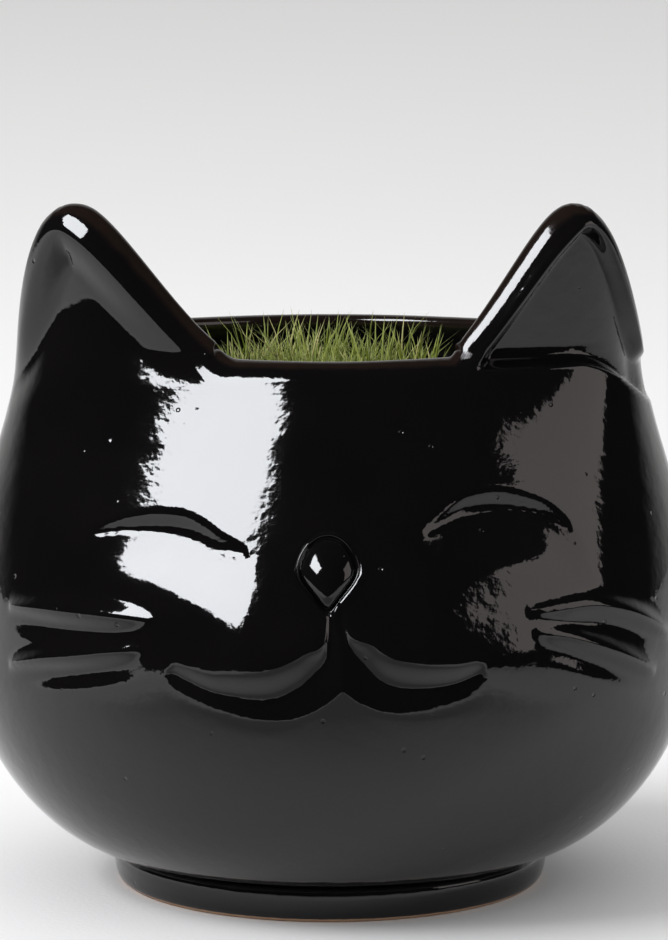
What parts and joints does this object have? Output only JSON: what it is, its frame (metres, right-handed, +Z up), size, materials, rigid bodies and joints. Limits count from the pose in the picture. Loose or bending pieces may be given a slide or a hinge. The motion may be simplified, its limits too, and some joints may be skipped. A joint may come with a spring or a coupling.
{
  "type": "cat face planter",
  "caption": "Black glazed ceramic cat-head planter with upright ears and a closed-eye face in relief, on a foot ring, holding a lift-out pot of fine grass.",
  "frame": {"origin": "centre of the foot ring on the table", "axes": "+Z up, -Y the way the face looks, +X to the right as the picture shows it"},
  "size_m": [0.148, 0.1365, 0.1392],
  "materials": {
    "glaze": "gloss",
    "glazed_foot": "gloss",
    "liner": "satin",
    "soil": "matte",
    "turf": "matte",
    "grass": "satin"
  },
  "bodies": {
    "pot": {"head_bowl": "glaze", "foot_ring": "glazed_foot", "ear_left": "glaze", "ear_right": "glaze", "nose": "glaze", "whisker_left_upper": "glaze", "whisker_left_lower": "glaze", "whisker_right_upper": "glaze", "whisker_right_lower": "glaze"},
    "insert": {"liner_pot": "liner", "soil_plug": "soil", "turf_mat": "turf", "grass_tuft_1": "grass", "grass_tuft_2": "grass", "grass_tuft_3": "grass", "grass_tuft_4": "grass", "grass_tuft_5": "grass", "grass_tuft_6": "grass", "grass_tuft_7": "grass"}
  },
  "joints": [
    {"name": "insert_lift", "type": "slide", "parent": "pot", "child": "insert", "axis": [0, 0, 1], "range_m": [0, 0.126]}
  ]
}
